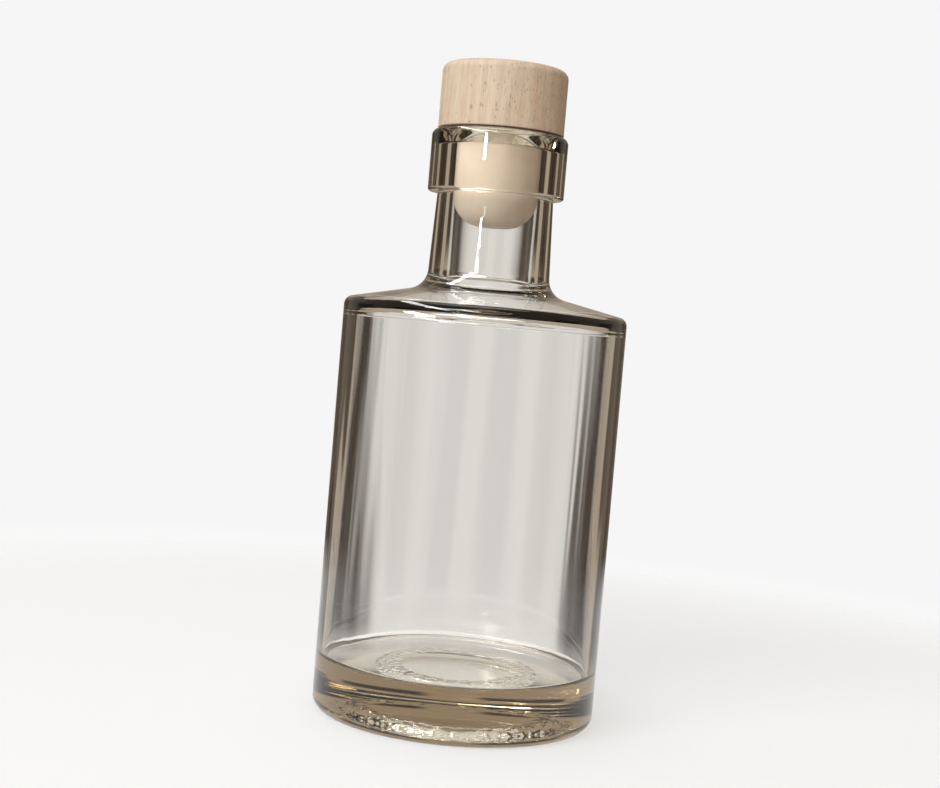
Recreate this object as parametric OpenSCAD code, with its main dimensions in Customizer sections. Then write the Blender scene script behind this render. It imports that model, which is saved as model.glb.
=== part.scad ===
// Clear glass spirits bottle with a plug-in wooden bar-top stopper.
// +Z is up and is the bottle's own axis. The origin is the centre of the ring it stands on.

/* [Glass body] */
// Outside diameter of the straight-sided body
body_d = 62; // [50:0.5:80]
// Thickness of the side wall
wall = 2.8; // [2:0.1:5]
// Radius of the rounded heel at the foot of the side wall
heel_r = 3; // [2:0.1:5]
// Height at which the shoulder's slope would meet the side wall
shoulder_z = 90; // [60:0.5:100]
// Slope of the shoulder above the level
shoulder_slope = 12; // [8:0.5:18]
// Radius of the shoulder's rounded outer edge
shoulder_edge_r = 2; // [1:0.1:4]
// Thickness of the glass under the shoulder
shoulder_wall = 2.5; // [2:0.1:5]
// Radius that blends the side wall into the shoulder on the inside
inner_shoulder_r = 2.5; // [1:0.1:6]

/* [Base] */
// Thickness of the base beside the inside wall
base_t = 12; // [6:0.1:16]
// Rise of the inside floor from its edge to its middle
floor_crown = 1.2; // [0.5:0.1:3]
// Radius between the inside floor and the side wall
floor_edge_r = 1; // [0.5:0.1:6]
// Diameter of the hollow under the base, inside the ring that the bottle stands on
punt_d = 30; // [20:0.5:44]
// Height of the hollow under the base
punt_h = 2.6; // [1:0.1:5]
// Radius of the rounded edge of the hollow
punt_edge_r = 1.5; // [0.5:0.1:3]

/* [Neck] */
// Outside diameter of the neck just above the shoulder
neck_low_d = 26.6; // [24:0.1:30]
// Outside diameter of the neck just under the collar
neck_top_d = 25.4; // [23:0.1:28]
// Radius that blends the shoulder into the neck on the outside
neck_blend_r = 4.6; // [3:0.1:8]
// Radius that blends the bore into the inside of the shoulder
throat_r = 1.6; // [1:0.1:8]
// Diameter of the bore
bore_d = 18.6; // [17:0.1:20]

/* [Collar] */
// Height of the lip above the table
bottle_h = 128; // [115:0.5:160]
// Outside diameter of the collar
collar_d = 29.8; // [28.5:0.1:33]
// Height of the collar
collar_h = 13.5; // [8:0.1:16]
// Radius of the collar's upper outside edge
lip_r = 1.4; // [0.5:0.1:2]
// Radius of the collar's lower outside edge
collar_edge_r = 0.6; // [0.3:0.1:2]
// Width of the flat ring on top of the lip
lip_flat = 1; // [0.8:0.1:2]
// Height of the sloping way from that ring into the bore
mouth_h = 3.3; // [1:0.1:5]
// Radius that rounds both ends of the sloping way
mouth_edge_r = 0.8; // [0.2:0.1:1.2]

/* [Stopper] */
// Diameter of the wooden head
head_d = 27.5; // [26.5:0.1:32]
// Height of the wooden head
head_h = 14.4; // [8:0.1:25]
// Radius of the head's upper edge
head_edge_r = 1.8; // [0.5:0.1:4]
// Size of the small bevel on the head's lower edge
head_bevel = 0.4; // [0.2:0.1:1]
// Length of the shank below the head
shank_l = 20.5; // [14:0.1:25]
// Radius of the shank's rounded lower end
shank_end_r = 6.5; // [2:0.1:8]
// Depth to which the shank is let into the head
socket_depth = 4; // [2:0.1:6]
// Radial gap between the shank and the bore
shank_clearance = 0.05; // [0.02:0.01:0.1]
// Thickness of the adhesive between the shank and its socket in the head
glue_t = 0.35; // [0.2:0.05:0.6]

/* [Hidden] */
$fn = 96;

// Straight pieces that a quarter turn of an outline is divided into
QUARTER_STEPS = 8;
// The glass reaches this far under the shoulder's slope, square to it
shoulder_drop = shoulder_wall / cos(shoulder_slope);

body_r = body_d / 2;
inner_r = body_r - wall;
bore_r = bore_d / 2;
punt_r = punt_d / 2;
neck_low_r = neck_low_d / 2;
neck_top_r = neck_top_d / 2;
collar_r = collar_d / 2;
collar_z = bottle_h - collar_h;
head_r = head_d / 2;
shank_r = bore_r - shank_clearance;
shank_end_z = bottle_h - shank_l;
socket_r = shank_r + glue_t;
glue_top_z = bottle_h + socket_depth;
shank_top_z = glue_top_z - glue_t;

// Height of the shoulder's slope at radius r
function shoulder_at(r) = shoulder_z + (body_r - r) * tan(shoulder_slope);

// Points of an arc about c, from angle a0 to angle a1 measured from +X
function arc(c, r, a0, a1) =
    let (n = max(3, round(QUARTER_STEPS * abs(a1 - a0) / 90)))
    [for (i = [0:n]) let (a = a0 + (a1 - a0) * i / n) c + r * [cos(a), sin(a)]];

// Points of the arc of radius r that rounds the corner at, between the lines to before and after
function corner(before, at, after, r) =
    let (
        u = (before - at) / norm(before - at),
        v = (after - at) / norm(after - at),
        half = acos(u * v) / 2,
        centre = at + (u + v) / norm(u + v) * r / sin(half),
        start = at + u * r / tan(half) - centre,
        end = at + v * r / tan(half) - centre,
        first = atan2(start.y, start.x),
        last = atan2(end.y, end.x)
    )
    arc(centre, r, first, abs(last - first) > 180 ? last - sign(last - first) * 360 : last);

// Points of a shallow dome from its top on the axis, at height top, down by rise at radius r
function dome(top, rise, r) =
    let (R = (r * r + rise * rise) / (2 * rise), sweep = asin(r / R))
    arc([0, top - R], R, 90, 90 - sweep);

// Centre of the rounding between a line at radius r and the shoulder's slope,
// dropped by drop, for a rounding of radius k that lies side (1 outwards, -1 inwards)
// of the line and above (1) or below (-1) the slope
function slope_centre(r, drop, k, side, above) =
    let (x = r + side * k) [x, shoulder_at(x) - drop + above * k / cos(shoulder_slope)];

// Half outline of the glass, from the axis under the base, round the outside to the lip,
// and back down the bore and the inside to the axis
function glass_outline() =
    let (
        mouth_top = [collar_r - lip_r - lip_flat, bottle_h],
        mouth_low = [bore_r, bottle_h - mouth_h],
        edge = slope_centre(body_r, 0, shoulder_edge_r, -1, -1),
        neck = slope_centre(neck_low_r, 0, neck_blend_r, 1, 1),
        throat = slope_centre(bore_r, shoulder_drop, throat_r, 1, 1),
        inside = slope_centre(inner_r, shoulder_drop, inner_shoulder_r, -1, -1),
        under = [punt_r + punt_edge_r, punt_edge_r]
    )
    concat(
        dome(punt_h, punt_h - punt_edge_r, punt_r),
        arc(under, punt_edge_r, 180, 270),
        arc([body_r - heel_r, heel_r], heel_r, 270, 360),
        arc(edge, shoulder_edge_r, 0, 90 - shoulder_slope),
        arc(neck, neck_blend_r, 270 - shoulder_slope, 180),
        [[neck_top_r, collar_z]],
        arc([collar_r - collar_edge_r, collar_z + collar_edge_r], collar_edge_r, 270, 360),
        arc([collar_r - lip_r, bottle_h - lip_r], lip_r, 0, 90),
        corner([collar_r, bottle_h], mouth_top, mouth_low, mouth_edge_r),
        corner(mouth_top, mouth_low, [bore_r, collar_z], mouth_edge_r),
        arc(throat, throat_r, 180, 270 - shoulder_slope),
        arc(inside, inner_shoulder_r, 90 - shoulder_slope, 0),
        arc([inner_r - floor_edge_r, base_t + floor_edge_r], floor_edge_r, 0, -90),
        reverse(dome(base_t + floor_crown, floor_crown, inner_r - floor_edge_r))
    );

// The list in the other order
function reverse(list) = [for (i = [len(list) - 1:-1:0]) list[i]];

// Each point that isn't the same as the one before it
function distinct(list) =
    [for (i = [0:len(list) - 1]) if (i == 0 || norm(list[i] - list[i - 1]) > 0.001) list[i]];

// One piece of clear glass: heavy base, straight side, shoulder, neck and collar
module bottle() {
    color([0.84, 0.86, 0.80, 0.4])
        rotate_extrude() polygon(distinct(glass_outline()));
}

// Turned beech head, seated on the lip, with a blind socket underneath for the shank
module stopper_head() {
    color([0.87, 0.78, 0.67])
        difference() {
            rotate_extrude()
                polygon(concat(
                    [
                        [0, bottle_h],
                        [head_r - head_bevel, bottle_h],
                        [head_r, bottle_h + head_bevel]
                    ],
                    arc([head_r - head_edge_r, bottle_h + head_h - head_edge_r], head_edge_r, 0, 90),
                    [[0, bottle_h + head_h]]
                ));
            translate([0, 0, bottle_h - head_bevel])
                cylinder(r = socket_r, h = socket_depth + head_bevel);
        }
}

// Smooth cream synthetic cork with a rounded lower end
module stopper_shank() {
    color([0.90, 0.84, 0.74])
        rotate_extrude()
            polygon(concat(
                [[0, shank_end_z]],
                arc([shank_r - shank_end_r, shank_end_z + shank_end_r], shank_end_r, 270, 360),
                [[shank_r, shank_top_z], [0, shank_top_z]]
            ));
}

// Cup of set adhesive that fills the socket round the shank's upper end
module stopper_glue() {
    color([0.93, 0.90, 0.80])
        difference() {
            translate([0, 0, bottle_h])
                cylinder(r = socket_r, h = socket_depth);
            translate([0, 0, bottle_h - glue_t])
                cylinder(r = shank_r, h = socket_depth);
        }
}

bottle();
stopper_head();
stopper_shank();
stopper_glue();
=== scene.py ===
"""A clear glass bottle with a wooden bar-top stopper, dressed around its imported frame.

Lengths are written in millimetres and become metres where a mesh, lamp or camera is made.
"""
import math

import bpy
import numpy as np
from mathutils import Matrix, Vector

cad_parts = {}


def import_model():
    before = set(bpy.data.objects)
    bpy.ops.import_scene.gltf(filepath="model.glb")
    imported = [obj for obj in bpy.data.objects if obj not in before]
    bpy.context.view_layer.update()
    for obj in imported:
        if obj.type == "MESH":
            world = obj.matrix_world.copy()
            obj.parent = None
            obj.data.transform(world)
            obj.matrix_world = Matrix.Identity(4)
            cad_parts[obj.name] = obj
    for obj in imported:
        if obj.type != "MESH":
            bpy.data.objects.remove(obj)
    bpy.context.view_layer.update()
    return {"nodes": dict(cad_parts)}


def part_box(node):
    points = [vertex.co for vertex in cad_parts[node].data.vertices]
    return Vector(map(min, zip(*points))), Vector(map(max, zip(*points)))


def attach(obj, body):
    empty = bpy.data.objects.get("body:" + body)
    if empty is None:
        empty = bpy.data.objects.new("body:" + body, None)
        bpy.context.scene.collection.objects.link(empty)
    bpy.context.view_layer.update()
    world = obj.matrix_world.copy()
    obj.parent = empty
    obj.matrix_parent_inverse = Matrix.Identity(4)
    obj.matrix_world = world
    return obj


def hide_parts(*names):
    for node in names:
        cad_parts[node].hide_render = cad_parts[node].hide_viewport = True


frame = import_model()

MM = 0.001
SEED = 7


# Sizes read from the frame

def node_size(node):
    """Outer radius, lowest and highest z of a round node, in millimetres."""
    low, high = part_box(node)
    return high.x / MM, low.z / MM, high.z / MM


BODY_R, _, LIP_Z = node_size("bottle")
HEAD_R, SEAT_Z, HEAD_TOP = node_size("stopper_head")
SHANK_R, SHANK_END, SHANK_TOP = node_size("stopper_shank")

# Sizes repeated from the part's source

WALL = 2.8
HEEL_R = 3.0
SHOULDER_Z = 90.0
SHOULDER_SLOPE = math.radians(12)
SHOULDER_EDGE_R = 2.0
SHOULDER_WALL = 2.5
INNER_SHOULDER_R = 2.5
BASE_T = 12.0
FLOOR_CROWN = 1.2
FLOOR_EDGE_R = 1.0
PUNT_R = 15.0
PUNT_H = 2.6
PUNT_EDGE_R = 1.5
NECK_LOW_R = 13.3
NECK_TOP_R = 12.7
NECK_BLEND_R = 4.6
THROAT_R = 1.6
SHANK_CLEARANCE = 0.05
COLLAR_R = 14.9
COLLAR_H = 13.5
COLLAR_EDGE_R = 0.6
LIP_R = 1.4
LIP_FLAT = 1.0
MOUTH_H = 3.3
MOUTH_EDGE_R = 0.8
HEAD_EDGE_R = 1.8
HEAD_BEVEL = 0.4
SHANK_END_R = 6.5
GLUE_T = 0.35

INNER_R = BODY_R - WALL
BORE_R = SHANK_R + SHANK_CLEARANCE
COLLAR_Z = LIP_Z - COLLAR_H

# Finer shapes that only the scene has: the rounding under the collar, the stippled band round the
# hollow under the base, with the height of its steps and the depth of its groove, and the waves inside

COLLAR_ROOT_R = 0.4
STIPPLE_R = 14.8
STIPPLE_W = 2.9
STIPPLE_H = 0.42
STIPPLE_GROOVE = 0.5
STIPPLE_ROW = 0.3
BROAD_WAVE = 0.07
FINE_WAVE = 0.012

# Brightness of the surroundings as they are seen, of their light, and of the floor

PALE = 0.92
PALE_THROUGH_GLASS = 0.78
FILL = 0.42
FILL_THROUGH_GLASS = 0.79
WARM_ROOM = (0.43, 0.36, 0.28, 1.0)
FLOOR_TONE = 0.52
FLOOR_LIFT = 0.49


# Shader sums

class Wire:
    """A node's output. Python sums on it, such as 1 - mask, add the Math nodes that work them out."""

    def __init__(self, graph, socket):
        self.graph = graph
        self.socket = socket

    def __add__(self, other):
        return self.graph.math("ADD", self, other)

    __radd__ = __add__

    def __sub__(self, other):
        return self.graph.math("SUBTRACT", self, other)

    def __rsub__(self, other):
        return self.graph.math("SUBTRACT", other, self)

    def __mul__(self, other):
        return self.graph.math("MULTIPLY", self, other)

    __rmul__ = __mul__

    def __truediv__(self, other):
        return self.graph.math("DIVIDE", self, other)

    def __rtruediv__(self, other):
        return self.graph.math("DIVIDE", other, self)

    def __pow__(self, other):
        return self.graph.math("POWER", self, other)

    def __rpow__(self, other):
        return self.graph.math("POWER", other, self)


class Graph:
    """The nodes of one material or of the world."""

    def __init__(self, owner):
        owner.use_nodes = True
        self.tree = owner.node_tree
        self.tree.nodes.clear()

    def node(self, kind, settings=None, inputs=None, output=None):
        """Adds a node of that kind, sets its settings first, then its sockets, and returns an output.

        A socket is named, or numbered where names repeat, and takes a value or a Wire. Where no output
        is named, it is the first one in use.
        """
        made = self.tree.nodes.new(kind)
        for name, value in (settings or {}).items():
            setattr(made, name, value)
        for key, value in (inputs or {}).items():
            socket = made.inputs[key] if isinstance(key, int) else self.open_socket(made.inputs, key)
            if isinstance(value, Wire):
                self.tree.links.new(value.socket, socket)
            else:
                socket.default_value = value
        if output is None:
            chosen = next((s for s in made.outputs if s.enabled), None)
        else:
            chosen = self.open_socket(made.outputs, output)
        return Wire(self, chosen)

    @staticmethod
    def open_socket(sockets, name):
        """The socket of that name that the node's settings leave in use."""
        return next(s for s in sockets if s.name == name and s.enabled)

    def math(self, operation, first, second):
        """A sum on two numbers."""
        return self.node("ShaderNodeMath", {"operation": operation}, {0: first, 1: second})

    def place(self):
        """The surface point in the object's own frame, in millimetres."""
        point = self.node("ShaderNodeTexCoord", output="Object")
        return self.vector("SCALE", point, Scale=1 / MM)

    def vector(self, operation, first, second=None, output=None, **named):
        """A sum on vectors. Its sockets are the first and second vector, and others by their names."""
        values = {0: first, **named}
        if second is not None:
            values[1] = second
        return self.node("ShaderNodeVectorMath", {"operation": operation}, values, output)

    def parts(self, vector):
        """The three numbers of a vector."""
        return [self.node("ShaderNodeSeparateXYZ", inputs={0: vector}, output=axis) for axis in "XYZ"]

    def join(self, x, y, z):
        """A vector or colour of three numbers."""
        return self.node("ShaderNodeCombineXYZ", inputs={0: x, 1: y, 2: z})

    def mix(self, factor, low, high):
        """The colour low where factor is 0, the colour high where it is 1, and a blend between."""
        settings = {"data_type": "RGBA", "blend_type": "MIX", "clamp_factor": True}
        return self.node("ShaderNodeMix", settings, {"Factor": factor, "A": low, "B": high}, "Result")

    def step(self, value, low, high, to_low=0.0, to_high=1.0):
        """Runs smoothly from to_low where value is low to to_high where it is high."""
        settings = {"interpolation_type": "SMOOTHSTEP", "clamp": True}
        spans = {"Value": value, "From Min": low, "From Max": high, "To Min": to_low, "To Max": to_high}
        return self.node("ShaderNodeMapRange", settings, spans)

    def noise(self, point, scale=1.0, detail=2.0, roughness=0.5):
        """Soft lumps between 0 and 1, about one to every 1 / scale of length."""
        values = {"Vector": point, "Scale": scale, "Detail": detail, "Roughness": roughness}
        return self.node("ShaderNodeTexNoise", {"noise_dimensions": "3D"}, values)

    def bump(self, height, distance):
        """A surface normal tilted by height, where a height of 1 stands distance millimetres proud."""
        values = {"Height": height, "Distance": distance * MM, "Strength": 1.0}
        return self.node("ShaderNodeBump", inputs=values)

    def ray_is(self, *kinds):
        """1 on rays of any of these kinds, such as Camera, and 0 on others."""
        flags = [self.node("ShaderNodeLightPath", output=f"Is {kind} Ray") for kind in kinds]
        result = flags[0]
        for flag in flags[1:]:
            result = self.math("MAXIMUM", result, flag)
        return result

    def through_solid_glass(self):
        """1 on rays seen through solid glass alone, as in an edge, the base or the lip, and 0 on others.

        They enter the glass and leave it, which is two changes, where rays through the hollow of the
        bottle have at least four.
        """
        depth = self.node("ShaderNodeLightPath", output="Transmission Depth")
        return self.ray_is("Transmission") * self.math("LESS_THAN", depth, 2.5)

    def after_glass(self):
        """1 on rays that have passed into glass, and 0 on others."""
        depth = self.node("ShaderNodeLightPath", output="Transmission Depth")
        return self.math("GREATER_THAN", depth, 0.5)

    def after_diffuse(self):
        """1 on rays that light a matt surface, even if glass bent them, and 0 on rays that are seen."""
        depth = self.node("ShaderNodeLightPath", output="Diffuse Depth")
        return self.math("GREATER_THAN", depth, 0.5)

    def surface(self, **sockets):
        """A Principled shader joined to the material's output."""
        inputs = {name.replace("_", " "): value for name, value in sockets.items()}
        shader = self.node("ShaderNodeBsdfPrincipled", inputs=inputs)
        return self.node("ShaderNodeOutputMaterial", inputs={"Surface": shader})


def colour(red, green, blue):
    """Linear colour with full alpha of a colour given as 0 to 255 values on a screen."""
    def linear(channel):
        share = channel / 255
        return share / 12.92 if share <= 0.04045 else ((share + 0.055) / 1.055) ** 2.4

    return (linear(red), linear(green), linear(blue), 1.0)


# Materials

def clear_glass():
    """Polished soda-lime glass with a faint olive tint that shows where it is thick."""
    material = bpy.data.materials.new("clear_glass")
    graph = Graph(material)
    shader = graph.node("ShaderNodeBsdfPrincipled", inputs={
        "Base Color": (1.0, 1.0, 1.0, 1.0),
        "Roughness": 0.0,
        "IOR": 1.52,
        "Transmission Weight": 1.0,
    })
    body = graph.node("ShaderNodeVolumeAbsorption", inputs={
        "Color": (0.70, 0.60, 0.38, 1.0),
        "Density": 30.0,
    })
    graph.node("ShaderNodeOutputMaterial", inputs={"Surface": shader, "Volume": body})
    return material


def beech():
    """Pale turned beech with its grain up the axis: soft bands, fine fibres and short dark flecks."""
    material = bpy.data.materials.new("beech")
    graph = Graph(material)
    x, y, z = graph.parts(graph.place())
    # The tree's centre lay this far to one side of the turned piece
    pith_x, pith_y = -52.0, 30.0
    from_x, from_y = x - pith_x, y - pith_y
    radius = (from_x * from_x + from_y * from_y) ** 0.5
    across = graph.math("ARCTAN2", from_y, from_x) * math.hypot(pith_x, pith_y)
    # Each layer of the grain is much longer up the axis than it is wide
    sway = graph.noise(graph.join(across * 0.05, radius * 0.05, z * 0.06))
    rings = graph.noise(graph.join(across * 0.02, radius * 0.8 + sway * 3.0, z * 0.01), detail=1.0)
    band = graph.noise(graph.join(across * 0.62, radius * 0.62, z * 0.035))
    fibre = graph.noise(graph.join(across * 4.2, radius * 4.2, z * 0.24), detail=3.0, roughness=0.62)
    pores = graph.noise(graph.join(across * 7.5, radius * 7.5, z * 0.75), detail=1.0)
    pale = graph.mix(graph.step(band, 0.38, 0.62), colour(216, 194, 169), colour(228, 206, 181))
    warmed = graph.mix(graph.step(rings, 0.48, 0.70, 0.0, 0.55), pale, colour(220, 188, 153))
    grained = graph.mix(graph.step(fibre, 0.52, 0.70, 0.0, 0.42), warmed, colour(192, 164, 136))
    lit = graph.mix(graph.step(fibre, 0.46, 0.34, 0.0, 0.35), grained, colour(238, 220, 197))
    pored = graph.mix(graph.step(pores, 0.63, 0.74, 0.0, 0.35), lit, colour(170, 140, 112))
    # The flecks lie closer to the right and higher up, measured from near the middle of the head
    higher = z - (SEAT_Z + 7)
    long_flecks = ray_flecks(graph, across, radius, z, x * 0.012 + higher * 0.012, 1.0)
    short_flecks = ray_flecks(graph, across, radius, z, x * 0.024 + higher * 0.022 - 0.12, 0.55)
    flecks = graph.math("MAXIMUM", long_flecks, short_flecks)
    tint = graph.noise(graph.join(across * 1.3, radius * 1.3, z * 0.09), detail=1.0)
    orange = graph.mix(graph.step(tint, 0.56, 0.70, 0.0, 0.3), pored, colour(226, 184, 144))
    tinted = graph.mix(graph.step(tint, 0.42, 0.30, 0.0, 0.28), orange, colour(196, 180, 163))
    flecked = graph.mix(flecks * 0.5, tinted, colour(142, 104, 74))
    # Painted shade: the end grain underneath and the small bevel round it are darkened, standing in for the
    # shadow in the gap where the head sits on the lip
    painted_gap_shade = graph.step(z, SEAT_Z + 0.5, SEAT_Z + 0.2)
    final = graph.mix(painted_gap_shade * 0.85, flecked, colour(88, 62, 42))
    graph.surface(Base_Color=final, Roughness=graph.step(fibre, 0.3, 0.8, 0.54, 0.68),
                  Normal=graph.bump(fibre * 0.5 - flecks * 0.6, 0.04), Specular_IOR_Level=0.3)
    return material


def ray_flecks(graph, across, radius, z, lean, size):
    """Spindles up the grain, 1 at their middle line, one to a cell, close in some patches, rare in others.

    Where lean is above 0 there are more of them. A size of 1 makes them about 1.5 mm long.
    """
    cell = (0.80 * size, 2.4 * size, 2.1 * size)
    # Half of a spindle's width, depth and length, as shares of its cell
    slim = (0.13 / size, 0.40, 0.36)
    point = graph.join(across / cell[0], radius / cell[1], z / cell[2])
    settings = {"voronoi_dimensions": "3D", "feature": "F1"}
    inputs = {"Vector": point, "Scale": 1.0, "Randomness": 1.0}
    middle = graph.node("ShaderNodeTexVoronoi", settings, inputs, "Position")
    chance = graph.node("ShaderNodeTexVoronoi", settings, inputs, "Color")
    offset = graph.vector("SUBTRACT", point, middle)
    spindle = graph.vector("DIVIDE", offset, slim)
    distance = graph.vector("LENGTH", spindle, output="Value")
    picked, length, _ = graph.parts(chance)
    patch = graph.noise(graph.join(across * 0.16, radius * 0.16, z * 0.10), detail=1.0) + lean
    left_out = graph.step(patch, 0.42, 0.62, 0.74, 0.20)
    shape = graph.step(distance / (length * 0.7 + 0.55), 1.0, 0.35)
    return shape * graph.math("GREATER_THAN", picked, left_out)


def synthetic_cork():
    """Smooth cream moulded cork with faint mottling and a few specks."""
    material = bpy.data.materials.new("synthetic_cork")
    graph = Graph(material)
    point = graph.place()
    mottle = graph.noise(point, 0.16)
    grit = graph.noise(point, 2.6)
    base = graph.mix(graph.step(mottle, 0.35, 0.65), colour(232, 214, 192), colour(240, 224, 203))
    speck = graph.step(grit, 0.66, 0.74)
    final = graph.mix(speck * 0.45, base, colour(188, 158, 126))
    graph.surface(Base_Color=final, Roughness=0.45, Normal=graph.bump(grit, 0.02),
                  Specular_IOR_Level=0.4)
    return material


def adhesive():
    """Set hot-melt, yellowish and slightly uneven."""
    material = bpy.data.materials.new("adhesive")
    graph = Graph(material)
    lumps = graph.noise(graph.place(), 0.8)
    tone = graph.mix(lumps, colour(226, 214, 176), colour(240, 231, 204))
    graph.surface(Base_Color=tone, Roughness=0.35, Normal=graph.bump(lumps, 0.05))
    return material


# Outlines, as points of radius and height

def arc(centre, radius, start, end, quarter_steps=10):
    """Points of a circle about centre, from the angle start to the angle end, in degrees."""
    steps = max(3, round(quarter_steps * abs(end - start) / 90))
    turn = np.radians(np.linspace(start, end, steps + 1))
    return np.stack([centre[0] + radius * np.cos(turn), centre[1] + radius * np.sin(turn)], 1)


def corner(before, at, after, rounding):
    """Points of the arc that rounds the corner at that point, between the lines to its two neighbours."""
    at = np.array(at, float)
    to_before, to_after = (np.array(p, float) - at for p in (before, after))
    to_before /= np.hypot(*to_before)
    to_after /= np.hypot(*to_after)
    half = math.acos(to_before @ to_after) / 2
    middle = (to_before + to_after) / np.hypot(*(to_before + to_after))
    centre = at + middle * rounding / math.sin(half)
    start = at + to_before * rounding / math.tan(half) - centre
    end = at + to_after * rounding / math.tan(half) - centre
    first = math.degrees(math.atan2(start[1], start[0]))
    sweep = (math.degrees(math.atan2(end[1], end[0])) - first + 180) % 360 - 180
    return arc(centre, rounding, first, first + sweep)


def dome(top, rise, radius, steps=12):
    """Points of a shallow dome, from its top on the axis down by rise at that radius."""
    ball = (radius * radius + rise * rise) / (2 * rise)
    sweep = math.degrees(math.asin(radius / ball))
    turn = np.radians(np.linspace(90, 90 - sweep, steps + 1))
    return np.stack([ball * np.cos(turn), top - ball + ball * np.sin(turn)], 1)


def shoulder_at(radius):
    """Height of the shoulder's slope."""
    return SHOULDER_Z + (BODY_R - radius) * math.tan(SHOULDER_SLOPE)


def slope_centre(radius, drop, rounding, side, above):
    """Centre of a rounding that touches a wall of that radius and the slope lowered by drop."""
    x = radius + side * rounding
    return x, shoulder_at(x) - drop + above * rounding / math.cos(SHOULDER_SLOPE)


def filled(points, longest):
    """The outline with long stretches divided, closely at each end so that shading stays true."""
    close, same = 0.12, 1e-6
    stretches = [points[:1]]
    for start, end in zip(points[:-1], points[1:]):
        length = np.hypot(*(end - start))
        if length < same:
            continue
        if length > 6 * close:
            inner = np.linspace(close, length - close, max(2, int(length / longest) + 1))
            stretches.append(start + (end - start) * (inner / length)[:, None])
        stretches.append(end[None])
    return np.concatenate(stretches)


def glass_outline():
    """Half outline of the glass in two: from under the base to the bore, and on down to the inner floor."""
    slope = math.degrees(SHOULDER_SLOPE)
    drop = SHOULDER_WALL / math.cos(SHOULDER_SLOPE)
    mouth_top = (COLLAR_R - LIP_R - LIP_FLAT, LIP_Z)
    mouth_low = (BORE_R, LIP_Z - MOUTH_H)
    edge = slope_centre(BODY_R, 0, SHOULDER_EDGE_R, -1, -1)
    neck = slope_centre(NECK_LOW_R, 0, NECK_BLEND_R, 1, 1)
    throat = slope_centre(BORE_R, drop, THROAT_R, 1, 1)
    inside = slope_centre(INNER_R, drop, INNER_SHOULDER_R, -1, -1)
    # Close rows carry the stippled band's outer edge across the flat ring that the bottle stands on
    first_row = PUNT_R + PUNT_EDGE_R + STIPPLE_ROW
    ring = np.arange(first_row, STIPPLE_R + STIPPLE_W + STIPPLE_ROW, STIPPLE_ROW)
    outside = np.concatenate([
        dome(PUNT_H, PUNT_H - PUNT_EDGE_R, PUNT_R, 36),
        arc((PUNT_R + PUNT_EDGE_R, PUNT_EDGE_R), PUNT_EDGE_R, 180, 270),
        np.stack([ring, np.zeros_like(ring)], 1),
        arc((BODY_R - HEEL_R, HEEL_R), HEEL_R, 270, 360),
        arc(edge, SHOULDER_EDGE_R, 0, 90 - slope),
        arc(neck, NECK_BLEND_R, 270 - slope, 180),
        arc((NECK_TOP_R + COLLAR_ROOT_R, COLLAR_Z - COLLAR_ROOT_R), COLLAR_ROOT_R, 180, 90, 4),
        arc((COLLAR_R - COLLAR_EDGE_R, COLLAR_Z + COLLAR_EDGE_R), COLLAR_EDGE_R, 270, 360, 6),
        arc((COLLAR_R - LIP_R, LIP_Z - LIP_R), LIP_R, 0, 90),
        corner((COLLAR_R, LIP_Z), mouth_top, mouth_low, MOUTH_EDGE_R),
        corner(mouth_top, mouth_low, (BORE_R, COLLAR_Z), MOUTH_EDGE_R),
    ])
    within = np.concatenate([
        arc(throat, THROAT_R, 180, 270 - slope),
        arc(inside, INNER_SHOULDER_R, 90 - slope, 0),
        arc((INNER_R - FLOOR_EDGE_R, BASE_T + FLOOR_EDGE_R), FLOOR_EDGE_R, 0, -90),
        dome(BASE_T + FLOOR_CROWN, FLOOR_CROWN, INNER_R - FLOOR_EDGE_R)[::-1],
    ])
    return filled(outside, 4.0), filled(within, 3.0)[1:]


def head_outline():
    """Half outline of the wooden head, from the rim of its socket out and up to the top's middle."""
    socket_r, socket_top = SHANK_R + GLUE_T, SHANK_TOP + GLUE_T
    points = np.concatenate([
        [[0, socket_top], [socket_r, socket_top], [socket_r, SEAT_Z]],
        [[HEAD_R - HEAD_BEVEL, SEAT_Z], [HEAD_R, SEAT_Z + HEAD_BEVEL]],
        arc((HEAD_R - HEAD_EDGE_R, HEAD_TOP - HEAD_EDGE_R), HEAD_EDGE_R, 0, 90),
        [[0, HEAD_TOP]],
    ])
    return filled(points, 0.6)


def shank_outline():
    """Half outline of the shank, from the middle of its lower end up to the middle of its top."""
    points = np.concatenate([
        [[0, SHANK_END]],
        arc((SHANK_R - SHANK_END_R, SHANK_END + SHANK_END_R), SHANK_END_R, 270, 360, 14),
        [[SHANK_R, SHANK_TOP], [0, SHANK_TOP]],
    ])
    return filled(points, 1.0)


# Meshes

def turns(columns):
    """The angle about the axis of each column of a grid, evenly spread over a full turn."""
    return 2 * np.pi * np.arange(columns) / columns


def even_grid(outline, columns):
    """Grids of radius and height, one row per outline point, the same in every column."""
    return np.repeat(outline[:, :1], columns, 1), np.repeat(outline[:, 1:], columns, 1)


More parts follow.
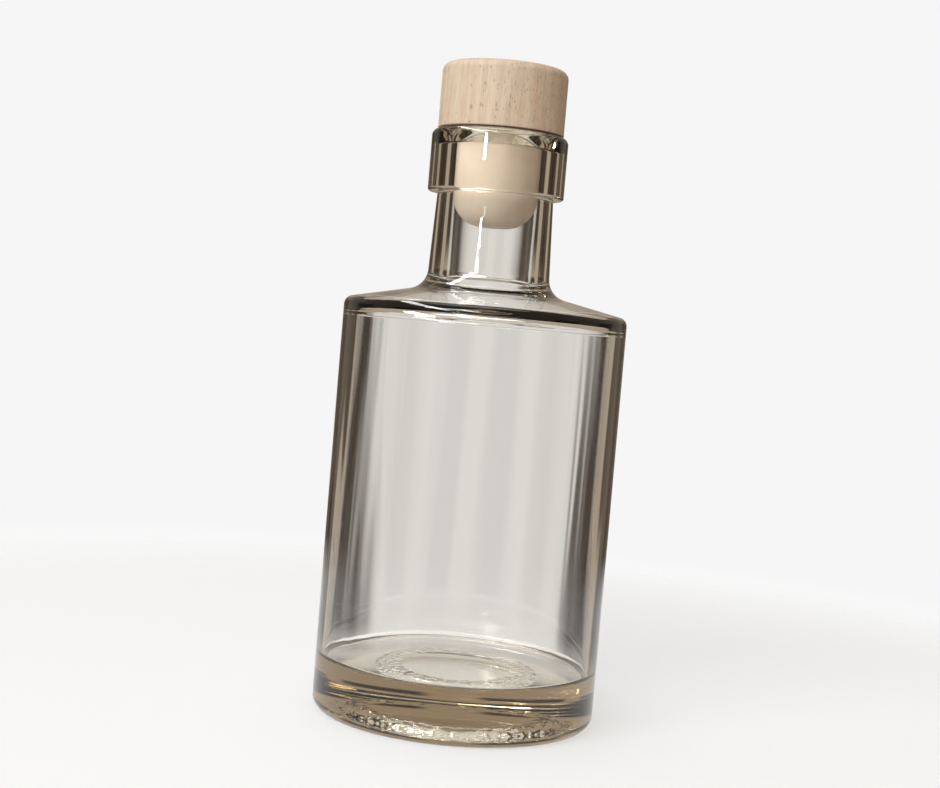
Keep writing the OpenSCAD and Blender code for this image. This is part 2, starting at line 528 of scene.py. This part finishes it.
def revolved(name, radius, height, material, body):
    """A closed surface from grids of radius and height, a row per outline point and a column per angle.

    The first and last rows lie on the axis and become one point each. A grid point is at
    (radius cos t, radius sin t, height), where t is the column's angle.
    """
    rows, columns = radius.shape
    turn = turns(columns)
    grid = np.stack([radius * np.cos(turn), radius * np.sin(turn), height], 2)[1:-1].reshape(-1, 3)
    poles = np.array([[0, 0, height[0].mean()], [0, 0, height[-1].mean()]])
    points = np.concatenate([grid, poles]) * MM
    row = np.arange(rows - 3)[:, None] * columns
    here = np.arange(columns)[None]
    after = (here + 1) % columns
    corners = [row + here, row + after, row + columns + after, row + columns + here]
    quads = np.stack(corners, 2).reshape(-1, 4)
    first, last = len(grid), len(grid) + 1
    under = np.stack([np.full(columns, first), after[0], here[0]], 1)
    top_row = (rows - 3) * columns
    over = np.stack([np.full(columns, last), top_row + here[0], top_row + after[0]], 1)
    return mesh_piece(name, points, [quads, under, over], material, body)


def mesh_piece(name, points, face_groups, material, body, smooth=True):
    """A mesh object from points and from arrays of faces, which may have different numbers of corners."""
    mesh = bpy.data.meshes.new(name)
    loops = np.concatenate([faces.ravel() for faces in face_groups]).astype(np.int32)
    sizes = np.concatenate([np.full(len(faces), faces.shape[1]) for faces in face_groups])
    starts = np.concatenate([[0], np.cumsum(sizes)[:-1]])
    mesh.vertices.add(len(points))
    mesh.vertices.foreach_set("co", points.astype(np.float32).ravel())
    mesh.loops.add(len(loops))
    mesh.loops.foreach_set("vertex_index", loops)
    mesh.polygons.add(len(sizes))
    mesh.polygons.foreach_set("loop_start", starts.astype(np.int32))
    mesh.polygons.foreach_set("loop_total", sizes.astype(np.int32))
    mesh.polygons.foreach_set("use_smooth", np.full(len(sizes), smooth))
    mesh.update(calc_edges=True)
    mesh.validate()
    mesh.materials.append(material)
    piece = bpy.data.objects.new(name, mesh)
    bpy.context.scene.collection.objects.link(piece)
    if body:
        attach(piece, body)
    return piece


def swell(turn, height, seed, waves, counts, lengths):
    """A smooth uneven field between about -1 and 1: a sum of random waves that wind round the axis.

    Each wave is the cosine of its count times the angle, plus a full turn for every length of height.
    """
    rng = np.random.default_rng(seed)
    total = np.zeros(np.broadcast(turn, height).shape)
    for _ in range(waves):
        count = rng.integers(*counts)
        length = rng.uniform(*lengths) * rng.choice((-1, 1))
        phase = rng.uniform(0, 2 * np.pi)
        total += np.cos(count * turn + 2 * np.pi * height / length + phase)
    return total / math.sqrt(waves)


def stippled(radius, height):
    """The heights with the rough band round the hollow under the base, where the mould was stippled.

    Each point under the base rises into a shallow groove and takes a random step, smoothed with its
    neighbours. Both fade towards the edges of the band, and no point goes below the ring that the glass
    stands on.
    """
    step = np.random.default_rng(SEED + 2).normal(size=radius.shape)
    # Three times round the axis and once along the outline
    for axis in (1, 1, 1, 0):
        step = (np.roll(step, 1, axis) + 2 * step + np.roll(step, -1, axis)) / 4
    band = np.clip(1 - np.abs(radius - STIPPLE_R) / STIPPLE_W, 0, 1) ** 0.5
    under = (height < PUNT_H + 0.01) & (radius < STIPPLE_R + STIPPLE_W)
    rough = height + band * (STIPPLE_H * step + STIPPLE_GROOVE * band)
    return np.where(under, np.maximum(rough, 0), height)


def glass_bottle(material):
    """The glass: its outline turned round the axis, with the uneven inside that blown glass has."""
    columns = 380
    outside, within = glass_outline()
    outline = np.concatenate([outside, within])
    turn = turns(columns)
    radius, height = even_grid(outline, columns)
    inner = (np.arange(len(outline)) >= len(outside))[:, None]
    # The bore stays true along the shank and a little below it, and the unevenness grows from there
    true_below, grows_over = 3, 12
    below_shank = np.clip((SHANK_END - true_below - height) / grows_over, 0, 1)
    off_axis = np.clip(radius / INNER_R, 0, 1) ** 2
    broad = swell(turn, height, SEED, 8, (2, 8), (60, 200))
    fine = swell(turn, height, SEED + 1, 30, (14, 56), (60, 300))
    # The fine waves start at the inner floor and are full this far above it
    fine_from_floor = 30
    above_floor = np.clip((height - BASE_T) / fine_from_floor, 0, 1)
    waves = BROAD_WAVE * broad + FINE_WAVE * fine * above_floor
    radius = radius - waves * inner * below_shank * off_axis
    height = stippled(radius, height)
    return revolved("glass_bottle", radius, height, material, "bottle")


def wooden_head(material):
    """The turned head: its outline turned round the axis."""
    radius, height = even_grid(head_outline(), 256)
    return revolved("beech_head", radius, height, material, "stopper")


def cork_shank(material):
    """The moulded shank: its outline turned round the axis."""
    radius, height = even_grid(shank_outline(), 160)
    return revolved("cork_shank", radius, height, material, "stopper")


# Stage, light and camera

def camera():
    """The camera at the photograph's place: distance, height, small tilts in radians and focal length."""
    distance, level = 360.3, 87.1
    pitch, yaw, roll = 0.0449, 0.0052, 0.0851
    focal_pixels, frame_pixels, sensor = 1641.2, 940, 36.0
    looking_along_y = Matrix(((1, 0, 0), (0, 0, -1), (0, 1, 0)))
    turned = (Matrix.Rotation(roll, 3, "Z") @ Matrix.Rotation(yaw, 3, "Y")
              @ Matrix.Rotation(pitch, 3, "X") @ looking_along_y)
    right, down, forward = turned
    data = bpy.data.cameras.new("camera")
    data.sensor_width = sensor
    data.lens = sensor * focal_pixels / frame_pixels
    data.clip_start, data.clip_end = 0.01, 100.0
    view = bpy.data.objects.new("camera", data)
    pose = Matrix((right, -down, -forward)).transposed().to_4x4()
    pose.translation = Vector((0, -distance, level)) * MM
    view.matrix_world = pose
    bpy.context.scene.collection.objects.link(view)
    bpy.context.scene.camera = view


def floor():
    """A pale round floor under the bottle, which fades into the equally pale surroundings.

    Seen through the glass it fades sooner, so that the low uprights still draw the edges of the body.
    Solid glass shows it in the tone of the warm room, with little of the glow that lifts it elsewhere.
    """
    material = bpy.data.materials.new("floor")
    graph = Graph(material)
    away = graph.vector("LENGTH", graph.place(), output="Value")
    lighting = graph.after_diffuse()
    bent = graph.ray_is("Transmission") * (1 - lighting)
    seen = graph.ray_is("Camera", "Glossy", "Transmission") * (1 - lighting)
    solid_glass = graph.through_solid_glass() * (1 - lighting)
    tone = graph.mix(solid_glass, (FLOOR_TONE, FLOOR_TONE, FLOOR_TONE, 1), WARM_ROOM)
    paint = graph.node("ShaderNodeBsdfDiffuse", inputs={"Color": tone})
    glow = seen * FLOOR_LIFT * (1 - solid_glass * 0.9)
    lift = graph.node("ShaderNodeEmission", inputs={"Strength": glow})
    solid = graph.node("ShaderNodeAddShader", inputs={0: paint, 1: lift})
    clear = graph.node("ShaderNodeBsdfTransparent")
    fade = graph.step(away, 150.0, 300.0) * (1 - bent) + graph.step(away, 45.0, 110.0) * bent
    surface = graph.node("ShaderNodeMixShader", inputs={0: fade, 1: solid, 2: clear})
    graph.node("ShaderNodeOutputMaterial", inputs={"Surface": surface})
    # A hair below the glass, so that the air under the standing ring still mirrors
    reach, level = 310.0, -0.03
    square = [(-reach, -reach), (reach, -reach), (reach, reach), (-reach, reach)]
    corners = np.array([(x, y, level) for x, y in square]) * MM
    piece = mesh_piece("floor", corners, [np.array([[0, 1, 2, 3]])], material, None, False)


def world():
    """Pale surroundings with soft dark uprights between them, which draw the glass's edges.

    Eight pale sectors face the bottle, with a brown-black upright between each two, up to a low height.
    Mirrored in glass, or seen through solid glass alone, the pale sectors take the tone of a warm room.
    Their light on matt surfaces is even, but a little stronger from the left and warmer from the right.
    """
    surroundings = bpy.data.worlds.new("studio")
    bpy.context.scene.world = surroundings
    graph = Graph(surroundings)
    direction = graph.node("ShaderNodeTexCoord", output="Generated")
    x, y, z = graph.parts(direction)
    eighth = math.pi / 4
    # The angle from the middle of the nearest pale sector
    between = graph.math("PINGPONG", graph.math("ARCTAN2", y, x), eighth / 2)
    wobble = (graph.noise(direction, 5.0) - 0.5) * math.radians(7)
    low = graph.step(z, math.sin(math.radians(12)), math.sin(math.radians(7)))
    bent = graph.ray_is("Transmission")
    mirrored = graph.ray_is("Glossy") * (1 - bent)
    strength = bent + mirrored * 0.7
    # Solid glass bends light so far to the side that its edges need wider uprights
    solid_glass = graph.through_solid_glass()
    narrow = graph.step(between + wobble, math.radians(7), math.radians(15)) * (1 - solid_glass)
    wide = graph.step(between + wobble * 0.4, math.radians(4.5), math.radians(9.5)) * solid_glass
    upright = (narrow + wide) * low * strength
    level = bent * (PALE_THROUGH_GLASS - PALE) + PALE
    clear = graph.join(level, level * 0.99, level * 0.965)
    pale = graph.mix(solid_glass + mirrored, clear, WARM_ROOM)
    backdrop = graph.mix(graph.ray_is("Camera"), pale, (PALE, PALE, PALE, 1.0))
    seen = graph.mix(upright, backdrop, (0.040, 0.027, 0.018, 1.0))
    # The shank inside the glass is lit more, and more from the left, than what stands outside it
    inside = graph.after_glass()
    side = 1 - x * (inside * 0.24 + 0.41)
    fill = (inside * (FILL_THROUGH_GLASS - FILL) + FILL) * side
    warmth = graph.step(x, -0.2, 1.0)
    light = graph.join(fill, fill * (1 - warmth * 0.26), fill * (1 - warmth * 0.48))
    tone = graph.mix(graph.after_diffuse(), seen, light)
    background = graph.node("ShaderNodeBackground", inputs={"Color": tone, "Strength": 1.0})
    graph.node("ShaderNodeOutputWorld", inputs={"Surface": background})


def lamp(name, start, size, watts, along=None, gleam=False):
    """A soft rectangular lamp of that width and height, aimed at the neck, its height along a direction.

    A gleam shows in the glass and lights nothing that is matt.
    """
    target = Vector((0, 0, 100)) * MM
    start = Vector(start) * MM
    back = (start - target).normalized()
    along = Vector(along or (0, 0, 1))
    tall = (along - along.dot(back) * back).normalized()
    wide = tall.cross(back)
    data = bpy.data.lights.new(name, "AREA")
    data.shape = "RECTANGLE"
    data.size, data.size_y = size[0] * MM, size[1] * MM
    data.energy = watts
    light = bpy.data.objects.new(name, data)
    pose = Matrix((wide, tall, back)).transposed().to_4x4()
    pose.translation = start
    light.matrix_world = pose
    light.visible_camera = False
    light.visible_diffuse = not gleam
    bpy.context.scene.collection.objects.link(light)


def toward(direction, away, height=105.0):
    """The point that far away along a direction, from the point on the axis at that height."""
    return Vector(direction).normalized() * away + Vector((0, 0, height))


def lights():
    """A soft key from the front left and a top light, with a small window and a long tube that gleam."""
    # At this angle and height the window shows in the collar and in the tapered neck
    bearing = math.radians(-23.2)
    front_left = (math.sin(bearing), -math.cos(bearing), 0)
    lamp("window", toward(front_left, 1100, 240.5), (80, 27), 0.6, gleam=True)
    low_end = toward((-0.45, -0.80, 0.20), 1250)
    high_end = toward((-0.48, 0.34, 0.81), 1250)
    tube = high_end - low_end
    lamp("tube", (low_end + high_end) / 2, (150, tube.length), 10.4, along=tube, gleam=True)
    lamp("key", toward((-0.42, -0.78, 0.50), 1300), (330, 1000), 10.3, along=(0.88, -0.47, 0))
    lamp("overhead", (-100, 100, 1500), (900, 900), 3.0)


def build():
    """Makes every piece, the stage and the light."""
    camera()
    bottle = glass_bottle(clear_glass())
    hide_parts("bottle")
    head = wooden_head(beech())
    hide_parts("stopper_head")
    shank = cork_shank(synthetic_cork())
    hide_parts("stopper_shank")
    glue = frame["nodes"]["stopper_glue"]
    glue.data.materials.clear()
    glue.data.materials.append(adhesive())
    floor()
    world()
    lights()


build()
view_settings = bpy.context.scene.view_settings
view_settings.view_transform = "Standard"
